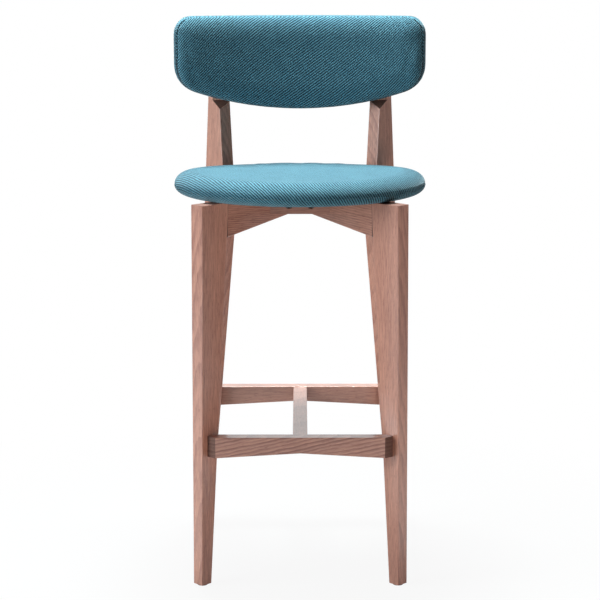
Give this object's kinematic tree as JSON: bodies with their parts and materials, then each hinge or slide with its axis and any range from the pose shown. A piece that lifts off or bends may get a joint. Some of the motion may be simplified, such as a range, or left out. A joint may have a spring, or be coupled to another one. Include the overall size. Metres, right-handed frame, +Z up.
{
  "type": "bar stool",
  "caption": "Upholstered bar stool with tapering wooden legs on a crossed frame, a wooden footrest, an oval padded seat and a curved padded backrest in teal ribbed fabric.",
  "frame": {"origin": "on the floor, under the middle of the stool's box", "axes": "+Z up, +Y towards the backrest so that the sitter faces -Y, +X to the right as seen from in front"},
  "size_m": [0.5016, 0.4614, 1.074],
  "materials": {
    "stained_wood": "satin stain, fine grain",
    "dowel_wood": "raw beech",
    "plywood": "raw plywood",
    "foam": "open-cell foam",
    "teal_fabric": "matte ribbed twill",
    "dust_cloth": "matte black cloth",
    "glide_plastic": "matte",
    "steel": "zinc plated"
  },
  "bodies": {
    "root": {"back_cover_front": "teal_fabric", "back_cover_rear": "teal_fabric", "back_foam": "foam", "back_panel": "plywood", "back_screw_plugs": "stained_wood", "back_screws": "steel", "block_screws": "steel", "centre_bar_dowels": "dowel_wood", "cross_rail_left": "stained_wood", "cross_rail_right": "stained_wood", "foot_glides": "glide_plastic", "footrest_centre_bar": "stained_wood", "footrest_dowels": "dowel_wood", "footrest_front_bar": "stained_wood", "footrest_rear_bar": "stained_wood", "front_corner_block": "stained_wood", "front_left_leg": "stained_wood", "front_right_leg": "stained_wood", "glide_nails": "steel", "rail_dowels": "dowel_wood", "rear_corner_block": "stained_wood", "rear_left_leg": "stained_wood", "rear_right_leg": "stained_wood", "seat_base": "plywood", "seat_bolts": "steel", "seat_cover": "teal_fabric", "seat_dust_cover": "dust_cloth", "seat_foam": "foam", "seat_staples": "steel", "seat_tee_nuts": "steel", "seat_washers": "steel"}
  },
  "joints": []
}
